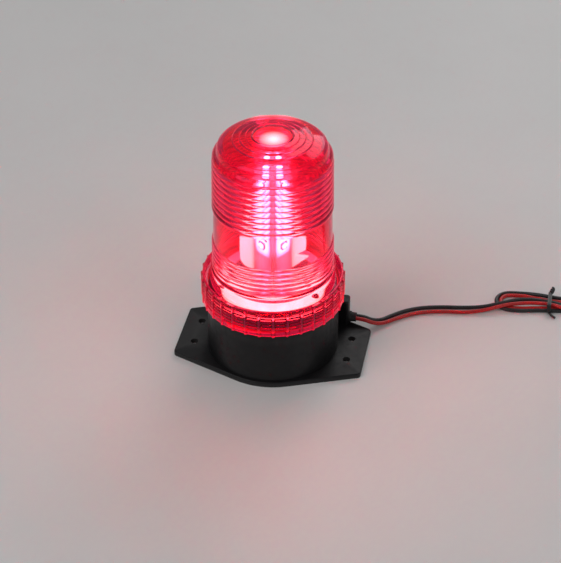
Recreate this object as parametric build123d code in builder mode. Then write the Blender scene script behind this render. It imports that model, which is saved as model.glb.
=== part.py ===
from build123d import *
import math
import os

# Red LED strobe beacon: flanged black base, screw-on ribbed red lens, four-sided LED column,
# driver board in the base and a two-core flying lead folded in a hank.
# Millimetres, +Z up, origin at the middle of the base's underside, ears along X.

os.makedirs("parts", exist_ok=True)

# ---- driving dimensions ------------------------------------------------------------------
FIT = 0.3            # gap between pieces that move past each other
SEAT = 0.05          # gap between pieces that sit in each other

EAR_LENGTH = 112.0   # tip to tip
EAR_WIDTH = 43.0
EAR_CORNER = 2.5
FLANGE_THICK = 3.2
FLANGE_R = 40.5
HOLE_SPACING_X = 92.0
HOLE_SPACING_Y = 20.0
HOLE_R = 2.25

HOUSING_R = 38.6
HOUSING_TOP = 37.5
WALL = 3.0
NECK_R = 36.8
NECK_TOP = 46.4
SPIGOT_R = 33.3
SPIGOT_TOP = 48.8
SPIGOT_BORE_R = 31.0

COVER_R = 35.2
COVER_BOTTOM = 0.6
COVER_THICK = 2.2
COVER_TOP = COVER_BOTTOM + COVER_THICK
GASKET_THICK = 0.8
LEDGE_LOW = COVER_TOP + GASKET_THICK
LEDGE_THICK = 2.0
LEDGE_R = 33.0
COVER_SCREW_RING = 32.2
COVER_SCREW_ANGLES = (90, 210, 330)
COVER_BOSS_R = 3.6
COVER_BOSS_TOP = 12.0

SCREW_R = 1.2        # shank of every small screw
SCREW_HEAD_R = 2.3

THREAD_LEAD = 12.0
THREAD_STARTS = 3
THREAD_ROOT = 1.8    # width of a ridge where it leaves its wall
THREAD_CREST = 1.0
THREAD_SINK = 0.4    # how far a ridge reaches into its wall
NECK_THREAD_R = 38.4
NECK_THREAD_LOW = 41.1
NECK_THREAD_ANGLE = 122.0
LENS_THREAD_R = 37.3
LENS_THREAD_LOW = 39.1
LENS_THREAD_ANGLE = 60.0

COLLAR_R = 41.5        # crest of the rings round the collar
COLLAR_BORE_R = 39.0
COLLAR_LOW = HOUSING_TOP + FIT
COLLAR_BAND_TOP = 41.4
COLLAR_TOP = 55.0
COLLAR_RINGS = 5
COLLAR_RING_PITCH = 2.2
COLLAR_RING_DEPTH = 0.5
GRIP_RIBS = 32         # upright half-round ribs
GRIP_CREST_R = 42.0
GRIP_RIB_R = 0.9
TROUGH_FLOOR = 50.8
TROUGH_R = 39.5
WEB_UNDER = 48.6
LENS_FOOT_R = 36.3
LENS_BORE_R = 33.8
FOOT_TOP = 61.0
LOW_RIBS = 6
LOW_RIBS_TOP = 79.4
BAND_TOP = 99.9
HIGH_RIBS = 9
HIGH_RIBS_TOP = 132.3
RIB_R_LOW = 35.4     # crest radius at the foot
RIB_R_HIGH = 34.1    # crest radius under the shoulder
RIB_DEPTH = 0.8
LENS_WALL = 2.6
SHOULDER = ((33.9, 133.2), (33.2, 135.0), (31.8, 136.5))
DOME_WALL = ((31.5, 136.8), (31.1, 139.0), (30.3, 140.9), (28.8, 142.0))
DOME_STEPS = ((22.4, 144.0, 144.7), (18.4, 144.9, 145.6), (15.0, 145.6, 146.1), (11.7, 146.2, 147.3))
DOME_DISC = (11.0, 146.9)
DOME_INSIDE = ((10.5, 144.1), (20.5, 141.6), (27.2, 139.6), (28.6, 137.6), (29.4, 134.4), (31.2, 131.6))

SEAL_SECTION_R = 1.0
SEAL_RING_R = 34.45

PLATE_R = 33.2
PLATE_THICK = 2.0
PLATE_TOP = SPIGOT_TOP + PLATE_THICK
PLATE_SCREW_RING = 31.0
PLATE_SCREW_ANGLES = (91, 211, 331)
PLATE_SCREW_HEAD_R = 2.0
PLATE_BOSS_R = 2.3
PLATE_BOSS_LOW = 42.0

WING_ANGLE = 11.0    # the wings stand along one diagonal of the column
CORE_TURN = WING_ANGLE + 45
CORE_WIDTH = 14.4
CORE_BORE = 11.0
CORE_PLUG_TOP = 60.0
CORE_TOP = 121.0
FOOT_WIDTH = 19.0
FOOT_THICK = 1.6
WING_REACH = 19.0
WING_THICK = 1.4
WING_LOW = 57.0
WING_HIGH = 79.0
WING_CORNER = 9.0
WING_CUT_EDGE = ((9.0, WING_LOW), (11.8, 58.5), (20.7, 65.6), (12.7, 66.6), (WING_REACH, 70.4))
LEAD_HOLE_R = 2.3
CORE_SCREW_RING = 4.6

BOARD_WIDTH = 14.2
BOARD_THICK = 1.0
BOARD_LOW = PLATE_TOP + FOOT_THICK + 0.4
BOARD_HIGH = 120.6
LED_WIDTH = 5.0
LED_THICK = 1.6
LED_COUNT = 6
LED_PITCH = 8.2
LED_LOW = 77.5       # middle of the lowest LED
TOP_BOARD_R = 10.4
TOP_BOARD_THICK = 1.2
TOP_LED_RING = 5.2

DRIVER_R = 26.0
DRIVER_LOW = 14.0
DRIVER_THICK = 1.6
DRIVER_TOP = DRIVER_LOW + DRIVER_THICK
POST_RING = 22.0
POST_R = 3.0
POST_ANGLES = (0, 120, 240)

BOSS_END = 41.6      # X of the cable boss's outer face
BOSS_Y = 27.1
BOSS_WIDTH = 8.6
BOSS_TOP = 20.0
TUNNEL_R = 2.9
TUNNEL_START = 18.0
LEAD_Z = 6.7
LEAD_R = 1.2
LEAD_SPREAD = 1.35   # each core's offset from the middle of the grommet
GROMMET_START = 32.0
GROMMET_FLANGE_R = 3.4
GROMMET_FLANGE = 1.2
GROMMET_END = 46.0

HANK_LOW = 0.8
HANK_HIGH = 6.2
HANK_LEFT = (136.5, 67.3)
HANK_LEFT_R = 9.5
HANK_RIGHT = (186.5, 69.0)
HANK_RIGHT_R = 8.0
TIE_X = 160.0
TIE_Y = 68.1
TIE_WIDTH = 3.0
TIE_INSIDE = (18.4, 5.6)
TIE_OUTSIDE = (20.0, 7.0)

# Routes of the two cores from the grommet to the hank, and inside the base.
BLACK_ROUTE = (
    (GROMMET_END, BOSS_Y + LEAD_SPREAD, LEAD_Z), (50.6, BOSS_Y + LEAD_SPREAD, LEAD_Z),
    (55.6, 29.0, 4.3), (60.6, 33.0, 2.1), (66.8, 40.3, 1.4), (74.4, 46.8, 1.3), (84.0, 51.5, 1.3),
    (95.5, 54.3, 1.3), (108.0, 56.0, 1.3), (119.5, 58.2, 1.7), (130.5, 62.0, 3.4),
)
RED_ROUTE = (
    (GROMMET_END, BOSS_Y - LEAD_SPREAD, LEAD_Z), (50.8, BOSS_Y - LEAD_SPREAD, LEAD_Z),
    (56.2, 26.3, 4.3), (61.8, 29.8, 2.1), (68.4, 36.6, 1.4), (76.8, 43.2, 1.3), (86.8, 47.8, 1.3),
    (98.2, 50.2, 1.3), (110.0, 51.4, 1.3), (121.5, 54.6, 2.2), (132.0, 60.0, 3.6),
)
INPUT_PAD = (15.0, 15.0)


def polar(radius, angle, z=0.0):
    """A point at an angle in degrees round the axis."""
    turn = math.radians(angle)
    return (radius * math.cos(turn), radius * math.sin(turn), z)


def crest(z):
    """Crest radius of the lens's ribs at a height: the wall has a little draft."""
    share = (z - FOOT_TOP) / (HIGH_RIBS_TOP - FOOT_TOP)
    return RIB_R_LOW + (RIB_R_HIGH - RIB_R_LOW) * share


def valley(z):
    """Radius of the valleys between the ribs, and of the smooth band."""
    return crest(z) - RIB_DEPTH


def finish(name, solid):
    """Label a piece and write its STEP file."""
    solid.label = name
    export_step(solid, f"parts/{name}.step")


def thread_ridge(wall_r, crest_r, angle):
    """One helical ridge on a wall, from angle 0 and height 0 upwards."""
    outward = math.copysign(1, crest_r - wall_r)
    root = -outward * THREAD_SINK
    top = crest_r - wall_r
    with BuildPart() as ridge:
        with BuildLine() as path:
            Helix(pitch=THREAD_LEAD, height=THREAD_LEAD * angle / 360, radius=wall_r)
        with BuildSketch(Plane(path.line @ 0, x_dir=(1, 0, 0), z_dir=path.line % 0)):
            with BuildLine():
                Polyline(
                    (root, -THREAD_ROOT / 2), (top, -THREAD_CREST / 2),
                    (top, THREAD_CREST / 2), (root, THREAD_ROOT / 2), close=True,
                )
            make_face()
        sweep(path=path.line, is_frenet=True)
    return ridge.part


def bend_radii(points):
    """Largest arc that fits each corner of a route: 0.45 of the shorter run over tan(half turn)."""
    spots = [Vector(*point) for point in points]
    radii = []
    for before, corner, after in zip(spots, spots[1:], spots[2:]):
        run_in = corner - before
        run_out = after - corner
        half_turn = math.radians(run_in.get_angle(run_out)) / 2
        radii.append(0.45 * min(run_in.length, run_out.length) / math.tan(half_turn))
    return radii


def wire(name, points, radius):
    """A round wire along straight runs joined by tangent arcs."""
    radii = bend_radii(points)
    with BuildPart() as tube:
        with BuildLine() as path:
            FilletPolyline(*points, radius=radii)
        with BuildSketch(Plane(path.line @ 0, z_dir=path.line % 0)):
            Circle(radius)
        sweep(path=path.line)
    length = path.wires()[0].length
    filled = tube.part.volume / (math.pi * radius**2 * length)
    print(name, "length", round(length, 1), "volume over section times length", round(filled, 4))
    print("  radii", [round(value, 1) for value in radii])
    return tube.part


def pan_screw(seat, shank_end, radius=SCREW_R, head_r=SCREW_HEAD_R, head=1.7):
    """A pan-head screw on the Z axis: its head stands on z = seat, its shank ends at shank_end."""
    with BuildPart(mode=Mode.PRIVATE) as screw:
        with BuildSketch(Plane.XY.offset(seat)):
            Circle(head_r)
        extrude(amount=math.copysign(head, seat - shank_end))
        fillet(faces().sort_by(Axis.Z)[-1 if seat > shank_end else 0].edges(), 0.5)
        with BuildSketch(Plane.XY.offset(seat)):
            Circle(radius)
        extrude(amount=shank_end - seat)
    return screw.part


neck_ridge = thread_ridge(NECK_R, NECK_THREAD_R, NECK_THREAD_ANGLE)
lens_ridge = thread_ridge(COLLAR_BORE_R, LENS_THREAD_R, LENS_THREAD_ANGLE)
thread_turns = [k * 360 / THREAD_STARTS for k in range(THREAD_STARTS)]

# ---- base housing ------------------------------------------------------------------------
with BuildPart() as base_housing:
    with BuildSketch():
        Circle(FLANGE_R)
        Rectangle(EAR_LENGTH, EAR_WIDTH)
        make_hull()
        fillet(vertices().filter_by(lambda v: abs(v.X) > EAR_LENGTH / 2 - 1), EAR_CORNER)
    extrude(amount=FLANGE_THICK)
    fillet(faces().sort_by(Axis.Z)[-1].edges(), 0.6)
    with BuildSketch():
        with Locations((BOSS_END / 2, BOSS_Y)):
            Rectangle(BOSS_END, BOSS_WIDTH)
    extrude(amount=BOSS_TOP)
    end_edges = edges().filter_by(Axis.Z).filter_by(lambda e: e.center().Z > FLANGE_THICK + 2)
    fillet(end_edges.group_by(Axis.X)[-1], 1.8)
    fillet(faces().sort_by(Axis.Z)[-1].edges().group_by(Axis.X)[-1], 1.2)
    with BuildSketch(Plane.XZ):
        with BuildLine():
            Polyline(
                (0, 0), (HOUSING_R + 0.2, 0), (HOUSING_R + 0.2, FLANGE_THICK),
                (HOUSING_R - 0.2, HOUSING_TOP), (NECK_R, HOUSING_TOP), (NECK_R, NECK_TOP),
                (SPIGOT_R, NECK_TOP), (SPIGOT_R, SPIGOT_TOP), (0, SPIGOT_TOP), close=True,
            )
        make_face()
    revolve(axis=Axis.Z)
    with BuildSketch(Plane.XZ):
        with BuildLine():
            Polyline(
                (0, 0), (COVER_R + 0.2, 0), (COVER_R + 0.2, LEDGE_LOW), (LEDGE_R, LEDGE_LOW),
                (LEDGE_R, LEDGE_LOW + LEDGE_THICK), (HOUSING_R - WALL, LEDGE_LOW + 2 * LEDGE_THICK),
                (HOUSING_R - WALL, HOUSING_TOP - 2 * WALL), (SPIGOT_BORE_R, HOUSING_TOP - WALL),
                (SPIGOT_BORE_R, SPIGOT_TOP), (0, SPIGOT_TOP), close=True,
            )
        make_face()
    revolve(axis=Axis.Z, mode=Mode.SUBTRACT)
    with BuildSketch(Plane.XY.offset(LEDGE_LOW)):
        with Locations([polar(COVER_SCREW_RING, angle) for angle in COVER_SCREW_ANGLES]):
            Circle(COVER_BOSS_R)
    extrude(amount=COVER_BOSS_TOP - LEDGE_LOW)
    with BuildSketch(Plane.XY.offset(LEDGE_LOW)):
        with Locations([polar(COVER_SCREW_RING, angle) for angle in COVER_SCREW_ANGLES]):
            Circle(SCREW_R + SEAT)
    extrude(amount=COVER_BOSS_TOP - LEDGE_LOW, mode=Mode.SUBTRACT)
    with BuildSketch(Plane.XY.offset(PLATE_BOSS_LOW)):
        with Locations([polar(PLATE_SCREW_RING, angle) for angle in PLATE_SCREW_ANGLES]):
            Circle(PLATE_BOSS_R)
    extrude(amount=SPIGOT_TOP - PLATE_BOSS_LOW)
    with BuildSketch(Plane.XY.offset(PLATE_BOSS_LOW)):
        with Locations([polar(PLATE_SCREW_RING, angle) for angle in PLATE_SCREW_ANGLES]):
            Circle(SCREW_R + SEAT)
    extrude(amount=SPIGOT_TOP - PLATE_BOSS_LOW, mode=Mode.SUBTRACT)
    with BuildSketch(Plane.YZ.offset(TUNNEL_START)):
        with Locations((BOSS_Y, LEAD_Z)):
            Circle(TUNNEL_R)
    extrude(amount=BOSS_END - TUNNEL_START, mode=Mode.SUBTRACT)
    with BuildSketch():
        with GridLocations(HOLE_SPACING_X, HOLE_SPACING_Y, 2, 2):
            Circle(HOLE_R)
    extrude(amount=FLANGE_THICK, mode=Mode.SUBTRACT)
    with Locations([Location((0, 0, NECK_THREAD_LOW), (0, 0, turn)) for turn in thread_turns]):
        add(neck_ridge)
finish("base_housing", base_housing.part)

# ---- cover under the base ------------------------------------------------------------------
with BuildPart() as bottom_cover:
    with BuildSketch(Plane.XY.offset(COVER_BOTTOM)):
        Circle(COVER_R)
    extrude(amount=COVER_THICK)
    with BuildSketch(Plane.XY.offset(COVER_TOP)):
        with Locations([polar(POST_RING, angle) for angle in POST_ANGLES]):
            Circle(POST_R)
    extrude(amount=DRIVER_LOW - COVER_TOP)
    with BuildSketch(Plane.XY.offset(COVER_TOP)):
        Circle(LEDGE_R - 2)
        Circle(LEDGE_R - 3.6, mode=Mode.SUBTRACT)
        with Locations([polar(COVER_SCREW_RING, angle) for angle in COVER_SCREW_ANGLES]):
            Circle(COVER_BOSS_R + 0.6, mode=Mode.SUBTRACT)
    extrude(amount=2.4)
    with BuildSketch(Plane.XY.offset(7.0)):
        with Locations([polar(POST_RING, angle) for angle in POST_ANGLES]):
            Circle(SCREW_R + SEAT)
    extrude(amount=DRIVER_LOW - 7.0, mode=Mode.SUBTRACT)
    for angle in COVER_SCREW_ANGLES:
        with BuildSketch(Plane.XZ):
            with BuildLine():
                Polyline(
                    (0, COVER_BOTTOM), (SCREW_HEAD_R + SEAT, COVER_BOTTOM),
                    (SCREW_R + 0.1, COVER_BOTTOM + 1.2), (SCREW_R + 0.1, COVER_TOP), (0, COVER_TOP),
                    close=True,
                )
            make_face()
        countersink = revolve(axis=Axis.Z, mode=Mode.PRIVATE)
        with Locations(polar(COVER_SCREW_RING, angle)):
            add(countersink, mode=Mode.SUBTRACT)
finish("bottom_cover", bottom_cover.part)

with BuildPart() as cover_gasket:
    with BuildSketch(Plane.XY.offset(COVER_TOP)):
        Circle(COVER_R)
        Circle(LEDGE_R + 0.2, mode=Mode.SUBTRACT)
        with Locations([polar(COVER_SCREW_RING, angle) for angle in COVER_SCREW_ANGLES]):
            Circle(SCREW_R + 0.4, mode=Mode.SUBTRACT)
    extrude(amount=GASKET_THICK)
finish("cover_gasket", cover_gasket.part)

with BuildPart() as cover_screws:
    with BuildSketch(Plane.XZ):
        with BuildLine():
            Polyline(
                (0, COVER_BOTTOM), (SCREW_HEAD_R, COVER_BOTTOM), (SCREW_R, COVER_BOTTOM + 1.2),
                (SCREW_R, COVER_BOSS_TOP - 1), (0, COVER_BOSS_TOP - 1), close=True,
            )
        make_face()
    cover_screw = revolve(axis=Axis.Z, mode=Mode.PRIVATE)
    with Locations([polar(COVER_SCREW_RING, angle) for angle in COVER_SCREW_ANGLES]):
        add(cover_screw)
finish("cover_screws", cover_screws.part)

# ---- lens with its collar --------------------------------------------------------------------
with BuildPart() as lens:
    with BuildSketch(Plane.XZ):
        with BuildLine() as outline:
            Polyline(
                (COLLAR_BORE_R, COLLAR_LOW), (COLLAR_R, COLLAR_LOW), (COLLAR_R, COLLAR_BAND_TOP),
                (COLLAR_R - COLLAR_RING_DEPTH, COLLAR_BAND_TOP + 0.3),
            )
            for ring in range(COLLAR_RINGS):
                low = COLLAR_BAND_TOP + 0.3 + ring * COLLAR_RING_PITCH
                inner = COLLAR_R - COLLAR_RING_DEPTH
                Polyline(
                    (inner, low), (inner, low + 0.5), (COLLAR_R - 0.1, low + 0.8),
                    (COLLAR_R - 0.1, low + 1.9), (inner, low + COLLAR_RING_PITCH),
                )
            Polyline(
                (COLLAR_R - COLLAR_RING_DEPTH, low + COLLAR_RING_PITCH),
                (COLLAR_R - COLLAR_RING_DEPTH, COLLAR_TOP - 0.5), (COLLAR_R - 1.0, COLLAR_TOP),
                (TROUGH_R + 0.5, COLLAR_TOP), (TROUGH_R + 0.1, COLLAR_TOP - 0.4),
                (TROUGH_R, TROUGH_FLOOR), (LENS_FOOT_R, TROUGH_FLOOR),
                (LENS_FOOT_R - 0.1, FOOT_TOP - 0.6), (valley(FOOT_TOP), FOOT_TOP),
            )
            for low_end, high_end, count in (
                (FOOT_TOP, LOW_RIBS_TOP, LOW_RIBS), (BAND_TOP, HIGH_RIBS_TOP, HIGH_RIBS),
            ):
                pitch = (high_end - low_end) / count
                for rib in range(count):
                    low = low_end + rib * pitch
                    middle = low + pitch / 2
                    high = low + pitch
                    ThreePointArc((valley(low), low), (crest(middle), middle), (valley(high), high))
            Line((valley(LOW_RIBS_TOP), LOW_RIBS_TOP), (valley(BAND_TOP), BAND_TOP))
            Line((valley(HIGH_RIBS_TOP), HIGH_RIBS_TOP), SHOULDER[0])
            ThreePointArc(*SHOULDER)
            Polyline(SHOULDER[2], *DOME_WALL[:2])
            ThreePointArc(*DOME_WALL[1:])
            climb = [DOME_WALL[3]]
            for radius, low, high in DOME_STEPS:
                climb += [(radius, low), (radius - 0.4, high)]
            climb += [DOME_DISC, (0, DOME_DISC[1]), (0, DOME_INSIDE[0][1])]
            climb += [*DOME_INSIDE, (crest(FOOT_TOP + 1) - LENS_WALL, FOOT_TOP + 1)]
            climb += [(LENS_BORE_R, FOOT_TOP - 1), (LENS_BORE_R, WEB_UNDER)]
            climb += [(COLLAR_BORE_R, WEB_UNDER), (COLLAR_BORE_R, COLLAR_LOW)]
            Polyline(*climb)
        make_face()
    revolve(axis=Axis.Z)
    with BuildSketch(Plane.XY.offset(COLLAR_LOW)):
        with PolarLocations(GRIP_CREST_R - GRIP_RIB_R, GRIP_RIBS):
            Circle(GRIP_RIB_R)
    extrude(amount=COLLAR_TOP - 0.9 - COLLAR_LOW)
    with Locations([Location((0, 0, LENS_THREAD_LOW), (0, 0, turn)) for turn in thread_turns]):
        add(lens_ridge)
finish("lens", lens.part)

with BuildPart() as lens_seal:
    with BuildSketch(Plane.XZ):
        with Locations((SEAL_RING_R, NECK_TOP + SEAT + SEAL_SECTION_R)):
            Circle(SEAL_SECTION_R)
    revolve(axis=Axis.Z)
finish("lens_seal", lens_seal.part)

# ---- reflector plate -----------------------------------------------------------------------
core_screw_spots = [polar(CORE_SCREW_RING, WING_ANGLE + side) for side in (90, 270)]

with BuildPart() as reflector_plate:
    with BuildSketch(Plane.XY.offset(SPIGOT_TOP)):
        Circle(PLATE_R)
        Circle(LEAD_HOLE_R, mode=Mode.SUBTRACT)
        with Locations([polar(PLATE_SCREW_RING, angle) for angle in PLATE_SCREW_ANGLES]):
            Circle(SCREW_R + 0.2, mode=Mode.SUBTRACT)
        with Locations(core_screw_spots):
            Circle(SCREW_R + SEAT, mode=Mode.SUBTRACT)
    extrude(amount=PLATE_THICK)
    fillet(faces().sort_by(Axis.Z)[-1].edges().sort_by(SortBy.LENGTH)[-1], 0.2)
finish("reflector_plate", reflector_plate.part)

with BuildPart() as plate_screws:
    with Locations([polar(PLATE_SCREW_RING, angle) for angle in PLATE_SCREW_ANGLES]):
        add(pan_screw(PLATE_TOP, PLATE_BOSS_LOW + 1, head_r=PLATE_SCREW_HEAD_R, head=1.3))
finish("plate_screws", plate_screws.part)

# ---- LED column ----------------------------------------------------------------------------
wing_side = polar(1, WING_ANGLE)
wing_face = polar(1, WING_ANGLE - 90)
wing_plane = Plane(origin=(0, 0, 0), x_dir=wing_side, z_dir=wing_face)
wing_bend = WING_CORNER * math.cos(math.radians(45))

with BuildPart() as column_core:
    with BuildSketch(Plane.XY.offset(PLATE_TOP)):
        Rectangle(FOOT_WIDTH, FOOT_WIDTH, rotation=CORE_TURN)
    extrude(amount=FOOT_THICK)
    with BuildSketch(Plane.XY.offset(PLATE_TOP)):
        Rectangle(CORE_WIDTH, CORE_WIDTH, rotation=CORE_TURN)
    extrude(amount=CORE_TOP - PLATE_TOP)
    with BuildSketch(wing_plane):
        with BuildLine():
            Polyline(
                (WING_CORNER - WING_REACH, WING_LOW), *WING_CUT_EDGE, (WING_REACH, WING_HIGH),
                (-WING_REACH, WING_HIGH), (-WING_REACH, WING_LOW + WING_CORNER),
            )
            ThreePointArc(
                (-WING_REACH, WING_LOW + WING_CORNER),
                (WING_CORNER - WING_REACH - wing_bend, WING_LOW + WING_CORNER - wing_bend),
                (WING_CORNER - WING_REACH, WING_LOW),
            )
        make_face()
    extrude(amount=WING_THICK / 2, both=True)
    with BuildSketch(Plane.XY.offset(CORE_PLUG_TOP)):
        Rectangle(CORE_BORE, CORE_BORE, rotation=CORE_TURN)
    extrude(amount=CORE_TOP - CORE_PLUG_TOP, mode=Mode.SUBTRACT)
    with BuildSketch(Plane.XY.offset(PLATE_TOP)):
        Circle(LEAD_HOLE_R)
    extrude(amount=CORE_PLUG_TOP - PLATE_TOP, mode=Mode.SUBTRACT)
    with BuildSketch(Plane.XY.offset(PLATE_TOP)):
        with Locations(core_screw_spots):
            Circle(SCREW_R + SEAT)
    extrude(amount=CORE_PLUG_TOP - PLATE_TOP - 1, mode=Mode.SUBTRACT)
finish("column_core", column_core.part)

with BuildPart() as column_screws:
    with Locations(core_screw_spots):
        add(pan_screw(SPIGOT_TOP, CORE_PLUG_TOP - 1.5))
finish("column_screws", column_screws.part)

for side in range(4):
    facing = CORE_TURN + 90 * side
    board_middle = CORE_WIDTH / 2 + BOARD_THICK / 2
    led_middle = CORE_WIDTH / 2 + BOARD_THICK + LED_THICK / 2
    with BuildPart() as led_board:
        with BuildSketch(Plane.XY.offset(BOARD_LOW)):
            with Locations(Location(polar(board_middle, facing), (0, 0, facing))):
                Rectangle(BOARD_THICK, BOARD_WIDTH)
        extrude(amount=BOARD_HIGH - BOARD_LOW)
        with BuildSketch(wing_plane):
            with Locations((0, (WING_LOW + WING_HIGH) / 2)):
                Rectangle(2 * WING_REACH, WING_HIGH - WING_LOW + 2 * FIT)
        extrude(amount=WING_THICK / 2 + SEAT, both=True, mode=Mode.SUBTRACT)
    finish(f"led_board_{side + 1}", led_board.part)
    with BuildPart() as side_leds:
        for step in range(LED_COUNT):
            led_low = LED_LOW + step * LED_PITCH - LED_WIDTH / 2
            with BuildSketch(Plane.XY.offset(led_low)):
                with Locations(Location(polar(led_middle, facing), (0, 0, facing))):
                    Rectangle(LED_THICK, LED_WIDTH)
            extrude(amount=LED_WIDTH)
    finish(f"side_leds_{side + 1}", side_leds.part)

with BuildPart() as top_board:
    with BuildSketch(Plane.XY.offset(CORE_TOP)):
        Circle(TOP_BOARD_R)
    extrude(amount=TOP_BOARD_THICK)
finish("top_board", top_board.part)

with BuildPart() as top_leds:
    with BuildSketch(Plane.XY.offset(CORE_TOP + TOP_BOARD_THICK)):
        for side in range(4):
            with Locations(Location(polar(TOP_LED_RING, CORE_TURN + 90 * side), (0, 0, CORE_TURN))):
                Rectangle(LED_WIDTH, LED_WIDTH)
    extrude(amount=LED_THICK)
finish("top_leds", top_leds.part)

with BuildPart() as column_leads:
    with BuildSketch(Plane.XY.offset(DRIVER_TOP)):
        with GridLocations(2.2, 1, 2, 1):
            Circle(0.7)
    extrude(amount=CORE_TOP - DRIVER_TOP)
finish("column_leads", column_leads.part)

# ---- driver board ----------------------------------------------------------------------------
with BuildPart() as driver_board:
    with BuildSketch(Plane.XY.offset(DRIVER_LOW)):
        Circle(DRIVER_R)
        with Locations([polar(POST_RING, angle) for angle in POST_ANGLES]):
            Circle(SCREW_R + 0.2, mode=Mode.SUBTRACT)
    extrude(amount=DRIVER_THICK)
finish("driver_board", driver_board.part)

with BuildPart() as board_screws:
    with Locations([polar(POST_RING, angle) for angle in POST_ANGLES]):
        add(pan_screw(DRIVER_TOP, 8.0))
finish("board_screws", board_screws.part)

with BuildPart() as capacitor:
    with BuildSketch(Plane.XY.offset(DRIVER_TOP)):
        with Locations((-12, 7)):
            Circle(5.0)
    extrude(amount=13.0)
    fillet(faces().sort_by(Axis.Z)[-1].edges(), 0.8)
finish("capacitor", capacitor.part)

with BuildPart() as inductor:
    with Locations((10, -11, DRIVER_TOP)):
        Cylinder(4.8, 1.6, align=(Align.CENTER, Align.CENTER, Align.MIN))
        Cylinder(3.4, 7.4, align=(Align.CENTER, Align.CENTER, Align.MIN))
    with Locations((10, -11, DRIVER_TOP + 5.8)):
        Cylinder(4.8, 1.6, align=(Align.CENTER, Align.CENTER, Align.MIN))
finish("inductor", inductor.part)

with BuildPart() as driver_chip:
    with BuildSketch(Plane.XY.offset(DRIVER_TOP)):
        with Locations((6, 8)):
            Rectangle(5.0, 4.0)
    extrude(amount=1.6)
    chamfer(faces().sort_by(Axis.Z)[-1].edges(), 0.3)
finish("driver_chip", driver_chip.part)

with BuildPart() as power_switch:
    with BuildSketch(Plane.XY.offset(DRIVER_TOP)):
        with Locations((-8, -10)):
            Rectangle(6.6, 6.2)
    extrude(amount=2.3)
    chamfer(faces().sort_by(Axis.Z)[-1].edges(), 0.4)
finish("power_switch", power_switch.part)

with BuildPart() as rectifier_diodes:
    with BuildSketch(Plane.XY.offset(DRIVER_TOP)):
        with Locations((14, 2)):
            with GridLocations(5.4, 5.0, 2, 2):
                Rectangle(4.3, 2.6)
    extrude(amount=2.2)
finish("rectifier_diodes", rectifier_diodes.part)

with BuildPart() as resistors:
    with BuildSketch(Plane.XY.offset(DRIVER_TOP)):
        with Locations((1, 14)):
            with GridLocations(4.2, 3.0, 3, 2):
                Rectangle(3.2, 1.6)
    extrude(amount=0.6)
finish("resistors", resistors.part)

# ---- flying lead -----------------------------------------------------------------------------
lead_sides = (-LEAD_SPREAD, LEAD_SPREAD)

with BuildPart() as cable_grommet:
    with BuildSketch(Plane.XZ):
        with BuildLine():
            Polyline(
                (GROMMET_START, 0), (GROMMET_START, TUNNEL_R - SEAT), (BOSS_END, TUNNEL_R - SEAT),
                (BOSS_END, GROMMET_FLANGE_R), (BOSS_END + GROMMET_FLANGE, GROMMET_FLANGE_R),
                (BOSS_END + GROMMET_FLANGE, 2.9), (GROMMET_END, 2.75), (GROMMET_END, 0), close=True,
            )
        make_face()
    body = revolve(axis=Axis.X, mode=Mode.PRIVATE)
    with Locations((0, BOSS_Y, LEAD_Z)):
        add(body)
    with BuildSketch(Plane.YZ.offset(GROMMET_START)):
        with Locations([(BOSS_Y + side, LEAD_Z) for side in lead_sides]):
            Circle(LEAD_R + SEAT)
    extrude(amount=GROMMET_END - GROMMET_START, mode=Mode.SUBTRACT)
finish("cable_grommet", cable_grommet.part)

with BuildPart() as input_leads:
    for side in lead_sides:
        pad = (INPUT_PAD[0] - side, INPUT_PAD[1] + side)
        route = (
            (*pad, DRIVER_LOW), (*pad, 9.8), (17.2 - side, 21.8 + side, 7.3),
            (22.0, BOSS_Y + side, LEAD_Z), (GROMMET_END, BOSS_Y + side, LEAD_Z),
        )
        add(wire("input_leads", route, LEAD_R))
finish("input_leads", input_leads.part)

lead_black = wire("lead_black", BLACK_ROUTE, LEAD_R)
finish("lead_black", lead_black)
lead_red = wire("lead_red", RED_ROUTE, LEAD_R)
finish("lead_red", lead_red)

with BuildPart() as lead_hank:
    with BuildSketch(Plane.XY.offset(HANK_LOW)):
        with Locations(HANK_LEFT):
            Circle(HANK_LEFT_R)
        with Locations(HANK_RIGHT):
            Circle(HANK_RIGHT_R)
        make_hull()
    extrude(amount=HANK_HIGH - HANK_LOW)
    fillet(edges().filter_by(Axis.Z, reverse=True), 1.2)
finish("lead_hank", lead_hank.part)

with BuildPart() as wire_tie:
    with BuildSketch(Plane.YZ.offset(TIE_X - TIE_WIDTH / 2)):
        with Locations((TIE_Y, (HANK_LOW + HANK_HIGH) / 2)):
            RectangleRounded(*TIE_OUTSIDE, 1.6)
            RectangleRounded(*TIE_INSIDE, 0.9, mode=Mode.SUBTRACT)
    extrude(amount=TIE_WIDTH)
finish("wire_tie", wire_tie.part)

with BuildPart() as lead_ends:
    tip_x = HANK_RIGHT[0] + HANK_RIGHT_R - 1.5
    with BuildSketch(Plane.YZ.offset(tip_x)):
        with Locations([(HANK_RIGHT[1] + side, 2.4) for side in (-1.8, 1.8)]):
            Circle(0.8)
    extrude(amount=9.0)
finish("lead_ends", lead_ends.part)
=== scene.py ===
import math

import bmesh
import bpy
from mathutils import Matrix, Vector


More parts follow.
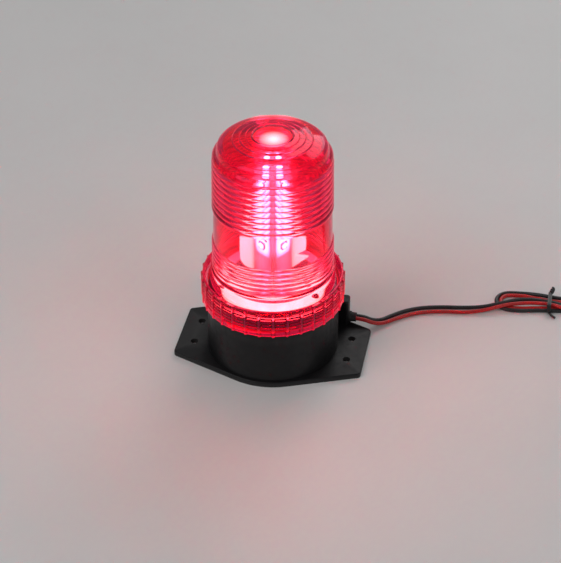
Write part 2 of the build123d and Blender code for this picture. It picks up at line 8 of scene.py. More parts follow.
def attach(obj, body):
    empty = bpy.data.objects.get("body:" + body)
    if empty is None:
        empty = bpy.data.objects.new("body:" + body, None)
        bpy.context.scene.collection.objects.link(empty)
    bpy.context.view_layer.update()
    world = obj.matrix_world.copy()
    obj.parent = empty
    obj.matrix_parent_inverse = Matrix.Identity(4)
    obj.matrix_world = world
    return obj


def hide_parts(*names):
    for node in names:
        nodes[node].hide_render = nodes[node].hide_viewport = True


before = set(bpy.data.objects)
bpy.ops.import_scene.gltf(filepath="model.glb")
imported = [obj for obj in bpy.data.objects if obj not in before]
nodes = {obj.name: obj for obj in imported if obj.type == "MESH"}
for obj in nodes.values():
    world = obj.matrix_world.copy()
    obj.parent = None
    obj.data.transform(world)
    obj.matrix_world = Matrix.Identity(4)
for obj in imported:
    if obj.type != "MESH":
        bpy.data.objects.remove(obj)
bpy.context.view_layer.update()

# Red LED beacon with a screw-on ribbed lens. Metres, +Z up, origin at the middle of the base's
# underside, ears along X, cable boss at the back right.

MM = 0.001

# ---- sizes ---------------------------------------------------------------------------------
# Camera.
CAMERA_AZIMUTH = math.radians(11.0)
CAMERA_ELEVATION = math.radians(36.41)
CAMERA_DISTANCE = 0.98
CAMERA_TARGET = (0.0062, -0.0091, 0.0541)
CAMERA_LENS = 109.1

# Lens, from its grip collar up. The rings go round the collar, the grip ribs stand upright on it.
# Outlines are (radius, height), and the dome's steps are (radius, lower height, upper height).
COLLAR_LOW = 0.0378
COLLAR_TOP = 0.0550
COLLAR_R = 0.0415
COLLAR_BORE_R = 0.0390
COLLAR_BAND_TOP = 0.0414
COLLAR_RINGS = 5
COLLAR_RINGS_LOW = 0.0417
COLLAR_RING_PITCH = 0.0022
RING_DEPTH = 0.0005
RING_START = 0.0007
RING_HEIGHT = 0.0014
RING_SWELL = 0.0003
RING_STEPS = 5
GRIP_RIBS = 32
GRIP_CREST_R = 0.0420
GRIP_RIB_R = 0.0009
TROUGH_R = 0.0395
TROUGH_FLOOR = 0.0508
WEB_UNDER = 0.0486
FOOT_R = 0.0363
FOOT_TOP = 0.0610
LENS_BORE_R = 0.0338
LOW_RIBS = 6
LOW_RIBS_TOP = 0.0794
BAND_MIDDLE = 0.0895
BAND_TOP = 0.0999
HIGH_RIBS = 9
HIGH_RIBS_TOP = 0.1323
RIB_R_LOW = 0.0354
RIB_R_HIGH = 0.0341
RIB_DEPTH = 0.0008
RIB_STEPS = 7
LENS_WALL = 0.0026
SHOULDER = ((0.0339, 0.1332), (0.0336, 0.1345), (0.0329, 0.1356), (0.0318, 0.1365))
DOME_WALL = ((0.0315, 0.1368), (0.0311, 0.1390), (0.0305, 0.1406), (0.0288, 0.1420))
DOME_STEPS = (
    (0.0224, 0.1440, 0.1447), (0.0184, 0.1449, 0.1456),
    (0.0150, 0.1456, 0.1461), (0.0117, 0.1462, 0.1473),
)
DOME_DISC_R = 0.0110
DOME_DISC_Z = 0.1469
# Middle and reach of the painted glow on the dome's disc, standing in for the top LEDs' light.
DISC_SPOT = (0.0015, -0.0045, DOME_DISC_Z)
DISC_SPOT_REACH = (0.0010, 0.0085)
DOME_INSIDE = (
    (0.0105, 0.1441), (0.0205, 0.1416), (0.0272, 0.1396), (0.0286, 0.1376), (0.0294, 0.1344),
    (0.0312, 0.1316),
)
INSIDE_LEVELS = (0.125, 0.115, 0.103, 0.091, 0.079, 0.067)
INSIDE_TOP = 0.129
FOOT_MIDDLE = 0.0555
BARREL_SEGMENTS = 224
COLLAR_SEGMENTS = 3 * BARREL_SEGMENTS
LENS_SLOT, COLLAR_SLOT, DISC_SLOT = range(3)

# Thread inside the collar: its ridge's section is (outwards, up) from the bore.
THREAD_LEAD = 0.012
THREAD_STARTS = 3
THREAD_LOW = 0.0391
THREAD_ANGLE = 60.0
THREAD_STEPS = 24
THREAD_SECTION = (
    (0.0001, -0.0009), (0.0, -0.0009), (-0.0017, -0.0005), (-0.0017, 0.0005), (0.0, 0.0009),
    (0.0001, 0.0009),
)

# Reflector plate and screws. The plate's painted glow fades between two places along Y.
PLATE_RIM_R = 0.0262
PLATE_GLOW_FADE = (-0.004, 0.010)
PLATE_TOP = 0.0508
PLATE_SCREW_RING = 0.0310
PLATE_SCREW_ANGLES = (91, 211, 331)
PLATE_SCREW_HEAD_R = 0.0020
COVER_SCREW_RING = 0.0322
COVER_SCREW_ANGLES = (90, 210, 330)
COVER_FACE = 0.0006
SCREW_R = 0.0012
SCREW_HEAD_R = 0.0023

# Screws from tip to recess: (radius, height over the seat), and the half width of the cross in it.
PAN_SCREW = (
    (0.0004, -0.0077), (SCREW_R, -0.0068), (SCREW_R, 0.0), (PLATE_SCREW_HEAD_R, 0.0),
    (PLATE_SCREW_HEAD_R, 0.0006), (PLATE_SCREW_HEAD_R - 0.0002, 0.0010), (0.0015, 0.00125),
    (0.0013, 0.0013), (0.00115, 0.0013, 0.00030), (0.0008, 0.0006, 0.00022),
)
FLAT_SCREW = (
    (0.0004, -0.0103), (SCREW_R, -0.0093), (SCREW_R, -0.0012), (SCREW_HEAD_R, -0.0001),
    (SCREW_HEAD_R - 0.0001, 0.0), (0.00145, 0.0), (0.00125, 0.0, 0.00030), (0.0009, -0.0009, 0.00022),
)

# LED column. Cases, feet and ends are (width, length, thickness), and the window of an LED is
# (radius, height over the board).
CORE_TURN = math.radians(56.0)
BOARD_FACE = 0.0082
BOARD_SIDES = 4
BOARD_TOP = 0.1206
TOP_BOARD_FACE = 0.1222
TOP_LED_RING = 0.0052
LED_PITCH = 0.0082
LED_LOW = 0.0775
LED_COUNT = 6
LED_CASE = (0.0048, 0.0042, 0.0013)
LED_FOOT = (0.0032, 0.0007, 0.0006)
LED_FOOT_OUT = 0.00215
LED_WINDOW = (
    (0.0019, 0.0011), (0.0019, 0.00135), (0.0016, 0.00147), (0.0010, 0.00155), (0.0004, 0.0016),
)
RESISTOR_CASE = (0.0011, 0.0014, 0.0005)
RESISTOR_END = (0.0012, 0.0004, 0.0006)
RESISTOR_END_OUT = 0.0008
RESISTOR_SHIFT = 0.0030
TOP_RESISTOR_RING = 0.0078
CASE_SLOT, FACE_SLOT, TIN_SLOT, EPOXY_SLOT = range(4)

# The painted glow of the boards and wings begins and ends at these heights or distances from the axis.
BOARD_GLOW_FOOT = (LED_LOW - 0.0075, LED_LOW - 0.0005)
BOARD_GLOW_FADE = (LED_LOW + 0.0080, BOARD_TOP)
BOARD_GLOW_EDGE = (0.0084, 0.0101)
WING_GLOW_START = (0.0095, 0.0125)

# Flying lead. The routes are in millimetres, from the grommet to the fold.
LEAD_R = 0.0012
BLACK_ROUTE = (
    (46.0, 28.45, 6.7), (50.6, 28.45, 6.7), (55.6, 29.0, 4.3), (60.6, 33.0, 2.1), (66.8, 40.3, 1.4),
    (74.4, 46.8, 1.3), (84.0, 51.5, 1.3), (95.5, 54.3, 1.3), (108.0, 56.0, 1.3), (119.5, 58.2, 1.7),
    (130.5, 62.0, 3.4),
)
RED_ROUTE = (
    (46.0, 25.75, 6.7), (50.8, 25.75, 6.7), (56.2, 26.3, 4.3), (61.8, 29.8, 2.1), (68.4, 36.6, 1.4),
    (76.8, 43.2, 1.3), (86.8, 47.8, 1.3), (98.2, 50.2, 1.3), (110.0, 51.4, 1.3), (121.5, 54.6, 2.2),
    (132.0, 60.0, 3.6),
)
HANK_LEVEL = 1.3

# Bare ends of the lead, in metres.
STRANDS = 7
STRAND_R = 0.00026
STRAND_LAY = 0.00050
STRAND_SPREAD = 0.00012
TIP_START = 0.1945
TIP_END = 0.2018
TIP_STEPS = 14

# Wire tie, in millimetres, with the section of its ribbon as (along the lead, outwards).
TIE_MIDDLE = (160.0, 68.9, 3.35)
TIE_REACH = (8.3, 2.5)
TIE_STEPS = 56
TIE_SQUARENESS = 0.55
TIE_SECTION = (
    (-1.2, 0.0), (1.2, 0.0), (1.2, 0.45), (0.5, 0.45), (0.25, 0.75), (-0.25, 0.75), (-0.5, 0.45),
    (-1.2, 0.45),
)
KNOT_START = (160.2, 75.2, 5.6)
KNOT_END = (161.4, 78.4, 7.1)
KNOT_R = 0.7
KNOT_FLATNESS = 0.4
KNOT_TURNS = 1.4
KNOT_STEPS = 16
TIE_TAIL = (
    (160.0, 61.6, 1.9), (160.5, 60.3, 1.5), (161.6, 59.0, 1.2), (163.0, 57.8, 1.0), (164.3, 56.9, 0.9),
)
TIE_END_R = 0.75


# ---- small helpers -------------------------------------------------------------------------
def link_object(name, data):
    """A new object in the scene."""
    piece = bpy.data.objects.new(name, data)
    bpy.context.scene.collection.objects.link(piece)
    return piece


def mesh_piece(name, bm, materials, smooth_angle=35.0):
    """A mesh object from a bmesh, smooth but for edges sharper than the angle."""
    bmesh.ops.recalc_face_normals(bm, faces=bm.faces)
    mesh = bpy.data.meshes.new(name)
    bm.to_mesh(mesh)
    bm.free()
    mesh.polygons.foreach_set("use_smooth", [True] * len(mesh.polygons))
    mesh.set_sharp_from_angle(angle=math.radians(smooth_angle))
    for material in materials:
        mesh.materials.append(material)
    return link_object(name, mesh)


def rounded(corners, steps=3):
    """A profile's points from (r, z, fillet) corners: a fillet above 0 becomes an arc."""
    points = []
    for k, (r, z, fillet) in enumerate(corners):
        if fillet <= 0 or k in (0, len(corners) - 1):
            points.append((r, z))
            continue
        here = Vector((r, z))
        back = Vector(corners[k - 1][:2]) - here
        ahead = Vector(corners[k + 1][:2]) - here
        half = back.angle(ahead) / 2
        reach = min(fillet / math.tan(half), 0.45 * back.length, 0.45 * ahead.length)
        start = here + back.normalized() * reach
        end = here + ahead.normalized() * reach
        for step in range(steps + 1):
            t = step / steps
            spot = start * (1 - t) ** 2 + here * 2 * t * (1 - t) + end * t**2
            points.append((spot.x, spot.y))
    return points


def ring(bm, r, z, segments, shape=None):
    """A ring of vertices round the axis; shape(radius, angle) gives its radius at an angle."""
    verts = []
    for k in range(segments):
        turn = math.tau * k / segments
        radius = shape(r, turn) if shape else r
        verts.append(bm.verts.new((radius * math.cos(turn), radius * math.sin(turn), z)))
    return verts


def bridge(bm, one, two, slot=0):
    """Quads between two rings of the same count, or triangles between a ring and one of 3 times
    its count."""
    if len(one) > len(two):
        one, two = two, one
    share = len(two) // len(one)
    count = len(one)
    for k in range(count):
        a, b = one[k], one[(k + 1) % count]
        outer = [two[(k * share + j) % len(two)] for j in range(share + 1)]
        if share == 1:
            faces = [(a, b, outer[1], outer[0])]
        else:
            faces = [(a, outer[0], outer[1]), (a, outer[1], outer[2], b), (b, outer[2], outer[3])]
        for face in faces:
            bm.faces.new(face).material_index = slot


def fan(bm, verts, z, slot=0):
    """A fan that closes a ring at a point on the axis."""
    tip = bm.verts.new((0, 0, z))
    for k in range(len(verts)):
        bm.faces.new((tip, verts[k], verts[(k + 1) % len(verts)])).material_index = slot


def skin(bm, loops, slot=0, closed=False):
    """Quads along a row of loops; closed joins the last to the first, otherwise the ends are capped."""
    for one, two in zip(loops, [*loops[1:], loops[0]] if closed else loops[1:]):
        for k in range(len(one)):
            after = (k + 1) % len(one)
            bm.faces.new((one[k], one[after], two[after], two[k])).material_index = slot
    if not closed:
        bm.faces.new(loops[0][::-1]).material_index = slot
        bm.faces.new(loops[-1]).material_index = slot


def tube(bm, points, radius, sides=8):
    """A capped round tube along points."""
    loops = []
    points = [Vector(point) for point in points]
    side_way = (points[1] - points[0]).orthogonal()
    for k, point in enumerate(points):
        along = (points[min(k + 1, len(points) - 1)] - points[max(k - 1, 0)]).normalized()
        side_way = (side_way - along * side_way.dot(along)).normalized()
        cross_way = along.cross(side_way)
        spots = []
        for side in range(sides):
            turn = math.tau * side / sides
            out = side_way * math.cos(turn) + cross_way * math.sin(turn)
            spots.append(bm.verts.new(point + radius * out))
        loops.append(spots)
    skin(bm, loops)


def turned(bm, place, outline, sides, slot=0):
    """A shape turned about the place's Z axis: (r, z) or (r, z, cross) from one end to the other. A
    cross above 0 makes that ring a cross-shaped recess with arms of that half width."""
    loops = []
    for radius, z, *cross in outline:
        loop = []
        for side in range(sides):
            turn = math.tau * side / sides
            out = radius
            if cross:
                along, across = sorted((abs(math.cos(turn)), abs(math.sin(turn))), reverse=True)
                out = min(radius / along, cross[0] / max(across, 1e-6))
                out = max(out, cross[0] * 1.3)
            loop.append(bm.verts.new(place @ Vector((out * math.cos(turn), out * math.sin(turn), z))))
        loops.append(loop)
    skin(bm, loops, slot)


def block(bm, place, size, bevel, slot):
    """A box with rounded edges, its middle at the place."""
    cube = bmesh.ops.create_cube(bm, size=1.0, matrix=place @ Matrix.Diagonal((*size, 1.0)))
    edges = {edge for vert in cube["verts"] for edge in vert.link_edges}
    for face in {face for vert in cube["verts"] for face in vert.link_faces}:
        face.material_index = slot
    bmesh.ops.bevel(bm, geom=list(edges), offset=bevel, segments=2, profile=0.5, affect="EDGES")


def at(x, y, z):
    """A shift, as a matrix."""
    return Matrix.Translation((x, y, z))


def smooth_cord(name, points, radius, material):
    """A round cord whose line is a smooth spline with these control points, in metres."""
    curve = bpy.data.curves.new(name, "CURVE")
    curve.dimensions = "3D"
    spline = curve.splines.new("NURBS")
    spline.points.add(len(points) - 1)
    for control, point in zip(spline.points, points):
        control.co = (*point, 1.0)
    spline.order_u = 3
    spline.use_endpoint_u = True
    spline.resolution_u = 10
    curve.bevel_depth = radius
    curve.bevel_resolution = 5
    curve.use_fill_caps = True
    curve.materials.append(material)
    return link_object(name, curve)


# ---- materials ------------------------------------------------------------------------------
class Look:
    """A Principled material and short ways to drive its sockets from patterns."""

    def __init__(self, name, color, roughness, **fixed):
        self.material = bpy.data.materials.new(name)
        self.material.use_nodes = True
        self.tree = self.material.node_tree
        self.shader = self.tree.nodes["Principled BSDF"]
        self.set("Base Color", (*color, 1.0))
        self.set("Roughness", roughness)
        for socket, value in fixed.items():
            self.set(socket.replace("_", " "), value)
        self.place = self.tree.nodes.new("ShaderNodeTexCoord").outputs["Object"]

    def set(self, socket, value):
        """A fixed value for one of the shader's sockets."""
        self.shader.inputs[socket].default_value = value

    def node(self, kind, settings=None, **inputs):
        """A new node; its inputs are values or the outputs of other nodes."""
        node = self.tree.nodes.new(kind)
        for key, value in (settings or {}).items():
            setattr(node, key, value)
        for key, value in inputs.items():
            socket = node.inputs[key.replace("_", " ")]
            if isinstance(value, bpy.types.NodeSocket):
                self.tree.links.new(value, socket)
            else:
                socket.default_value = value
        return node

    def drive(self, socket, source):
        """A pattern for one of the shader's sockets."""
        self.tree.links.new(source, self.shader.inputs[socket])

    def noise(self, scale, detail=4.0, stretch=None):
        """Noise per metre, from 0 to 1; stretch squeezes it along an axis."""
        place = self.place
        if stretch:
            place = self.node("ShaderNodeMapping", Vector=place, Scale=stretch).outputs[0]
        return self.node(
            "ShaderNodeTexNoise", Vector=place, Scale=scale, Detail=detail, Roughness=0.6,
        ).outputs["Fac"]

    def cells(self, scale):
        """Distance to the nearest of scattered points."""
        return self.node("ShaderNodeTexVoronoi", Vector=self.place, Scale=scale).outputs["Distance"]

    def span(self, source, low, high, start=0.3, end=0.7):
        """Map a pattern onto a range of values."""
        ramp = self.node("ShaderNodeMapRange", Value=source)
        ramp.inputs["From Min"].default_value = start
        ramp.inputs["From Max"].default_value = end
        ramp.inputs["To Min"].default_value = low
        ramp.inputs["To Max"].default_value = high
        return ramp.outputs[0]

    def blend(self, share, one, two):
        """A colour between two, by a pattern from 0 to 1."""
        mix = self.node("ShaderNodeMix", {"data_type": "RGBA"})
        self.tree.links.new(share, mix.inputs["Factor"])
        for socket, value in ((mix.inputs[6], one), (mix.inputs[7], two)):
            if isinstance(value, bpy.types.NodeSocket):
                self.tree.links.new(value, socket)
            else:
                socket.default_value = (*value, 1.0)
        return mix.outputs[2]

    def mottle(self, pattern, one, two):
        """A base colour that wanders between two by a pattern."""
        self.drive("Base Color", self.blend(self.span(pattern, 0.0, 1.0), one, two))

    def edges(self, low=0.52, high=0.6, least=0.0, most=1.0):
        """Where the surface's edges stand proud."""
        pointiness = self.tree.nodes.new("ShaderNodeNewGeometry").outputs["Pointiness"]
        return self.span(pointiness, least, most, low, high)

    def height(self):
        """Height above the origin."""
        return self.node("ShaderNodeSeparateXYZ", Vector=self.place).outputs["Z"]

    def reach(self):
        """Distance from the Z axis."""
        flat = self.node("ShaderNodeVectorMath", {"operation": "MULTIPLY"})
        self.tree.links.new(self.place, flat.inputs[0])
        flat.inputs[1].default_value = (1.0, 1.0, 0.0)
        length = self.node("ShaderNodeVectorMath", {"operation": "LENGTH"})
        self.tree.links.new(flat.outputs[0], length.inputs[0])
        return length.outputs["Value"]

    def product(self, one, two):
        """Two patterns multiplied."""
        node = self.node("ShaderNodeMath", {"operation": "MULTIPLY"})
        self.tree.links.new(one, node.inputs[0])
        self.tree.links.new(two, node.inputs[1])
        return node.outputs[0]

    def bump(self, height, strength, distance):
        """Relief of a given depth in metres."""
        node = self.node("ShaderNodeBump", Height=height, Strength=strength, Distance=distance)
        self.drive("Normal", node.outputs[0])


def moulded_black():
    """Black ABS with a fine moulded grain and faintly scuffed edges."""
    look = Look("black_abs", (0.006, 0.006, 0.007), 0.42, Specular_IOR_Level=0.28)
    blotch = look.noise(90.0, detail=5.0)
    tint = look.blend(look.span(blotch, 0.0, 1.0), (0.005, 0.005, 0.006), (0.009, 0.0085, 0.009))
    look.drive("Base Color", look.blend(look.edges(), tint, (0.030, 0.029, 0.029)))
    look.drive("Roughness", look.span(look.noise(260.0), 0.34, 0.52))
    look.bump(look.noise(2600.0, detail=2.0), 0.22, 0.00008)
    return look.material


def red_plastic(name, tint, gloss, glow, edge_glow, spot_glow=0.0):
    """Clear red polycarbonate lit from inside: a painted glow at its edges and ribs stands in for its
    light.
    Spot glow is painted glow for the light of the top LEDs gathered near the front of the dome's disc."""
    look = Look(
        name, tint, gloss, Transmission_Weight=1.0, IOR=1.585, Specular_Tint=(1.0, 0.11, 0.33, 1.0),
        Emission_Color=(1.0, 0.02, 0.12, 1.0),
    )
    # Painted glow for the LEDs' light: a spot near the disc's front, or along edges and ribs elsewhere.
    if spot_glow:
        look.set("Emission Color", (1.0, 0.45, 0.5, 1.0))
        gap = look.node("ShaderNodeVectorMath", {"operation": "DISTANCE"})
        look.tree.links.new(look.place, gap.inputs[0])
        gap.inputs[1].default_value = DISC_SPOT
        distance = gap.outputs["Value"]
        look.drive("Emission Strength", look.span(distance, spot_glow, glow, *DISC_SPOT_REACH))
    else:
        look.drive("Emission Strength", look.edges(0.502, 0.56, glow, edge_glow))
    rubs = look.noise(420.0, detail=6.0, stretch=(1.0, 1.0, 0.25))
    look.drive("Roughness", look.span(rubs, gloss - 0.02, gloss + 0.05, 0.4, 0.75))
    look.bump(look.noise(120.0, detail=2.0), 0.10, 0.0002)
    return look.material


def rubber():
    """Black rubber with a dusty bloom."""
    look = Look("black_rubber", (0.02, 0.02, 0.02), 0.75)
    look.mottle(look.noise(700.0), (0.014, 0.014, 0.014), (0.04, 0.039, 0.038))
    look.drive("Roughness", look.span(look.noise(1500.0), 0.6, 0.85))
    look.bump(look.noise(4000.0), 0.2, 0.00005)
    return look.material


def white_plastic(name, color, gloss, glare=0.0):
    """White moulded plastic with faint sink marks. Glare is a painted glow on its wings for the LEDs'
    light.
    """
    look = Look(name, color, gloss)
    look.mottle(look.noise(60.0), color, tuple(channel * 0.93 for channel in color))
    look.drive("Roughness", look.span(look.noise(300.0), gloss - 0.08, gloss + 0.1))
    look.bump(look.noise(900.0, detail=2.0), 0.1, 0.00005)
    if glare:
        # Painted glow for the LEDs' light on the wings, stronger away from the axis.
        look.set("Emission Color", (0.6, 1.0, 0.34, 1.0))
        look.drive("Emission Strength", look.span(look.reach(), 0.05 * glare, glare, *WING_GLOW_START))
    return look.material


def reflector():
    """Glossy white rim of the reflector plate round its darker middle. The glow of its front stands
    in for the light of the LEDs and fades towards the back."""
    look = Look(
        "reflector_plate", (0.86, 0.85, 0.82), 0.1, Coat_Weight=1.0, Coat_Roughness=0.04,
        Specular_IOR_Level=0.9,
    )
    rim = look.span(look.reach(), 0.0, 1.0, PLATE_RIM_R - 0.0004, PLATE_RIM_R + 0.0004)
    speck = look.span(look.noise(700.0), 0.0, 1.0)
    white = look.blend(speck, (0.86, 0.85, 0.82), (0.80, 0.79, 0.76))
    dark = look.blend(speck, (0.035, 0.033, 0.033), (0.022, 0.02, 0.02))
    look.drive("Base Color", look.blend(rim, dark, white))
    look.drive("Roughness", look.span(look.noise(350.0), 0.07, 0.16))
    # Painted glow on the white rim for the LEDs' light, fading towards the back.
    look.set("Emission Color", (0.6, 1.0, 0.34, 1.0))
    glow = look.product(rim, look.span(speck, 14.0, 12.5, 0.0, 1.0))
    depth = look.node("ShaderNodeSeparateXYZ", Vector=look.place).outputs["Y"]
    look.drive("Emission Strength", look.product(glow, look.span(depth, 1.0, 0.0, *PLATE_GLOW_FADE)))
    return look.material


def circuit_board(name, mask, trace, glare=0.0):
    """Solder mask with the faint pattern of the tracks under it. Glare is painted glow for the LEDs'
    light on
    the board: strongest on its middle line by the lowest LED, and weaker towards the top."""
    look = Look(name, mask, 0.3, Coat_Weight=0.3, Coat_Roughness=0.15)
    tracks = look.node(
        "ShaderNodeTexBrick", Vector=look.place, Scale=260.0, Color1=(0, 0, 0, 1), Color2=(0, 0, 0, 1),
        Mortar=(1, 1, 1, 1), Mortar_Size=0.05, Brick_Width=1.3, Row_Height=0.4,
    ).outputs["Fac"]
    look.drive("Base Color", look.blend(tracks, mask, trace))
    look.drive("Roughness", look.span(look.noise(900.0), 0.22, 0.4))
    look.bump(tracks, 0.2, 0.00003)
    if glare:
        # Painted glow for the LEDs' light: rising at the LEDs' foot, fading upwards and towards the
        # edges.
        look.set("Emission Color", (1.0, 0.66, 0.52, 1.0))
        foot = look.span(look.height(), 0.04 * glare, glare, *BOARD_GLOW_FOOT)
        fading = look.product(foot, look.span(look.height(), 1.0, 0.35, *BOARD_GLOW_FADE))
        middle = look.span(look.reach(), 1.0, 0.06, *BOARD_GLOW_EDGE)
        look.drive("Emission Strength", look.product(fading, middle))
    return look.material


def metal(name, color, gloss, stretch=None):
    """Metal with fine rubs."""
    look = Look(name, color, gloss, Metallic=1.0)
    rubs = look.noise(1800.0, detail=5.0, stretch=stretch)
    look.mottle(rubs, color, tuple(channel * 0.75 for channel in color))
    look.drive("Roughness", look.span(rubs, gloss - 0.08, gloss + 0.15))
    look.bump(rubs, 0.15, 0.00003)
    return look.material


def moulded_epoxy():
    """The black case of chips and diodes."""
    look = Look("black_epoxy", (0.02, 0.02, 0.021), 0.55)
    grain = look.noise(3500.0, detail=2.0)
    look.mottle(grain, (0.015, 0.015, 0.016), (0.035, 0.035, 0.036))
    look.drive("Roughness", look.span(grain, 0.48, 0.66))
    look.bump(grain, 0.2, 0.00003)
    return look.material


def copper_winding():
    """Enamelled copper turns wound round a ferrite core."""
    look = Look("copper_winding", (0.45, 0.18, 0.07), 0.3, Metallic=0.8)
    turns = look.node(
        "ShaderNodeTexWave", {"wave_type": "BANDS", "bands_direction": "Z"}, Vector=look.place,
        Scale=700.0, Distortion=0.5, Detail=1.0,
    ).outputs["Fac"]
    look.drive("Base Color", look.blend(turns, (0.16, 0.055, 0.025), (0.6, 0.26, 0.1)))
    look.drive("Roughness", look.span(look.noise(900.0), 0.22, 0.45))
    look.bump(turns, 0.6, 0.0002)
    return look.material


def wire_insulation(name, color, dark):
    """PVC insulation: a soft gloss with drawing marks along it and a little dirt."""
    look = Look(name, color, 0.32, Specular_IOR_Level=0.5)
    look.mottle(look.noise(220.0), color, dark)
    look.drive("Roughness", look.span(look.noise(700.0), 0.24, 0.45))
    look.bump(look.noise(1500.0, detail=3.0), 0.12, 0.00005)
    return look.material


def led_light(name, color, strength, spots):
    """The lit face of an LED package: brighter over its dies."""
    look = Look(name, (1.0, 0.6, 0.5), 0.35)
    look.set("Emission Strength", strength)
    dies = look.span(look.cells(spots), 1.0, 0.55, 0.1, 0.6)
    look.drive("Emission Color", look.blend(dies, tuple(channel * 0.6 for channel in color), color))
    return look.material


def pale_floor():
    """A plain pale studio floor."""
    look = Look("pale_floor", (0.78, 0.77, 0.76), 0.5)
    look.mottle(look.noise(8.0), (0.78, 0.77, 0.76), (0.75, 0.74, 0.73))
    look.bump(look.noise(600.0), 0.05, 0.0001)
    return look.material


BLACK_ABS = moulded_black()
# The last numbers are painted glow for the LEDs' light: over the wall, at edges and ribs, and in a disc
# spot.
RED_LENS = red_plastic("red_polycarbonate", (1.0, 0.05, 0.15), 0.06, 0.02, 0.4)
RED_COLLAR = red_plastic("red_collar", (0.6, 0.004, 0.024), 0.07, 0.0, 0.26)
RED_DISC = red_plastic("red_disc", (1.0, 0.12, 0.19), 0.08, 0.02, 0.0, 2.2)
RUBBER = rubber()
PLATE_LOOK = reflector()
# The last number of the white core and the boards is the strength of their painted glow for the LEDs'
# light.
WHITE_CORE = white_plastic("white_core", (0.84, 0.83, 0.80), 0.45, 8.0)
WHITE_BOARD = circuit_board("white_board", (0.86, 0.86, 0.84), (0.74, 0.74, 0.73), 60.0)
TOP_BOARD = circuit_board("top_white_board", (0.86, 0.86, 0.84), (0.74, 0.74, 0.73), 9.0)
GREEN_BOARD = circuit_board("green_board", (0.01, 0.13, 0.04), (0.02, 0.22, 0.07))
STEEL = metal("zinc_steel", (0.62, 0.62, 0.63), 0.3)
DARK_STEEL = metal("black_steel", (0.06, 0.055, 0.055), 0.35)
TINNED = metal("tinned_copper", (0.74, 0.72, 0.69), 0.32, stretch=(0.2, 1.0, 1.0))
CAN = metal("capacitor_can", (0.66, 0.67, 0.7), 0.3, stretch=(1.0, 1.0, 0.1))
EPOXY = moulded_epoxy()
WINDING = copper_winding()
RED_PVC = wire_insulation("red_pvc", (0.62, 0.012, 0.012), (0.42, 0.008, 0.01))
BLACK_PVC = wire_insulation("black_pvc", (0.012, 0.012, 0.013), (0.022, 0.021, 0.021))
TIE_PLASTIC = wire_insulation("tie_plastic", (0.010, 0.010, 0.011), (0.02, 0.02, 0.02))
LED_BODY = white_plastic("led_body", (0.85, 0.84, 0.8), 0.4)
LED_FACE = led_light("led_face", (1.0, 0.92, 0.76), 16000.0, 900.0)

NODE_LOOKS = {
    "base_housing": BLACK_ABS, "bottom_cover": BLACK_ABS, "cover_gasket": RUBBER,
    "lens_seal": RUBBER, "reflector_plate": PLATE_LOOK, "column_core": WHITE_CORE,
    "column_screws": STEEL, "top_board": TOP_BOARD, "column_leads": RED_PVC,
    "driver_board": GREEN_BOARD, "board_screws": STEEL, "capacitor": CAN, "inductor": WINDING,
    "driver_chip": EPOXY, "power_switch": EPOXY, "rectifier_diodes": EPOXY, "resistors": EPOXY,
    "cable_grommet": RUBBER, "input_leads": BLACK_PVC,
    **{f"led_board_{side + 1}": WHITE_BOARD for side in range(BOARD_SIDES)},
}
for node_name, node_material in NODE_LOOKS.items():
    nodes[node_name].data.materials.clear()
    nodes[node_name].data.materials.append(node_material)


# ---- camera ----------------------------------------------------------------------------------
def camera():
    """The camera, aimed at the middle of the picture."""
    data = bpy.data.cameras.new("camera")
    data.sensor_fit = "HORIZONTAL"
    data.sensor_width = 36.0
    data.lens = CAMERA_LENS
    data.clip_start = 0.01
    eye = link_object("camera", data)
    level = math.cos(CAMERA_ELEVATION) * CAMERA_DISTANCE
    back = Vector((
        math.sin(CAMERA_AZIMUTH) * level, -math.cos(CAMERA_AZIMUTH) * level,
        math.sin(CAMERA_ELEVATION) * CAMERA_DISTANCE,
    ))
    eye.location = Vector(CAMERA_TARGET) + back
    eye.rotation_euler = (-back).to_track_quat("-Z", "Y").to_euler()
    bpy.context.scene.camera = eye


camera()


# ---- flying lead -----------------------------------------------------------------------------
def in_metres(points):
    """Points given in millimetres, in metres."""
    return [tuple(value * MM for value in point) for point in points]


def fold(center, radius, start, end, count):
    """Points of a folded turn on the floor, in millimetres, from one angle to another."""
    spots = []
    for k in range(count):
        turn = math.radians(start + (end - start) * k / (count - 1))
        x = center[0] + radius * math.cos(turn)
        y = center[1] + radius * math.sin(turn)
        spots.append((x, y, HANK_LEVEL))
    return spots


BLACK_HANK = [
    (137.5, 66.2, 3.7), (144.5, 68.6, 3.7), (152.0, 69.2, 3.8), (160.0, 68.9, 3.8), (168.5, 67.0, 3.7),
    (176.5, 63.2, 2.6),
    *fold((184.0, 69.2), 8.3, -100, 100, 8),
    (174.5, 76.0, 1.6), (167.0, 75.2, 2.4), (160.0, 75.0, 3.0), (152.5, 76.2, 2.7), (144.5, 77.3, 1.7),
    *fold((136.4, 67.9), 9.1, 100, 262, 7),
    (144.0, 59.6, 1.3), (151.5, 61.6, 1.3), (160.0, 63.0, 1.4), (168.0, 64.0, 1.3), (176.5, 66.8, 2.0),
    (185.0, 69.6, 3.8), (191.0, 70.6, 3.8), (196.0, 70.8, 2.5),
]
RED_HANK = [
    (139.0, 62.9, 3.7), (146.5, 65.1, 3.8), (154.0, 66.1, 3.9), (161.0, 66.3, 3.9), (169.0, 64.2, 3.6),
    (177.5, 62.9, 1.9),
    *fold((184.0, 69.2), 5.8, -95, 95, 7),
    (174.5, 73.2, 1.5), (167.0, 72.6, 1.7), (160.0, 72.6, 1.6), (152.5, 74.0, 1.3), (144.5, 75.1, 1.3),
    *fold((136.6, 67.9), 6.6, 98, 262, 6),
    (144.0, 62.1, 1.3), (151.5, 64.0, 1.3), (160.0, 65.5, 1.3), (168.0, 66.8, 1.3), (176.5, 68.0, 1.9),
    (185.0, 67.4, 3.8), (191.0, 66.8, 3.8), (196.0, 66.9, 2.5),
]


